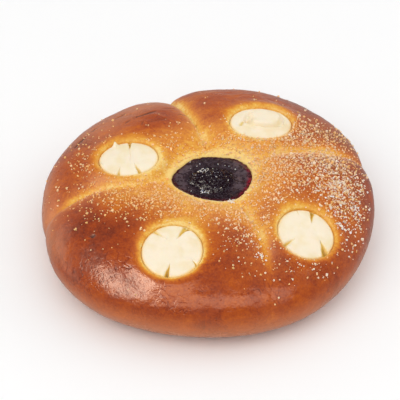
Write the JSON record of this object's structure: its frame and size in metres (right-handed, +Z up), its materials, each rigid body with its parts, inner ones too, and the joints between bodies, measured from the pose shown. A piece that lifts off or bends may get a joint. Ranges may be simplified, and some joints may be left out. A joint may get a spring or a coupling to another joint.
{
  "type": "filled sweet bun",
  "caption": "Round glossy yeast bun pressed into lobes by creases, with a white curd filling in each lobe, dark jam in the middle and coarse sugar on top.",
  "frame": {"origin": "middle of the flat base, on the surface that the bun stands on", "axes": "+Z up through the crown; -Y towards the front, where the two front lobes are; +X to the right"},
  "size_m": [0.1304, 0.1307, 0.0328],
  "materials": {
    "crust": "egg-washed, glossy, browned at the sides and pale in the creases and round the fillings",
    "curd": "baked cream cheese, satin, with darker cracks",
    "jam": "glossy dark berry jam with a crimson edge",
    "sugar": "clear to white crystals"
  },
  "bodies": {
    "root": {"baked_dough": "crust", "curd_front_left": "curd", "curd_front_right": "curd", "curd_back_left": "curd", "curd_back_right": "curd", "jam_filling": "jam", "sugar_clump_1": "sugar", "sugar_clump_2": "sugar", "sugar_clump_3": "sugar", "sugar_clump_4": "sugar", "sugar_clump_5": "sugar", "sugar_clump_6": "sugar"}
  },
  "joints": []
}
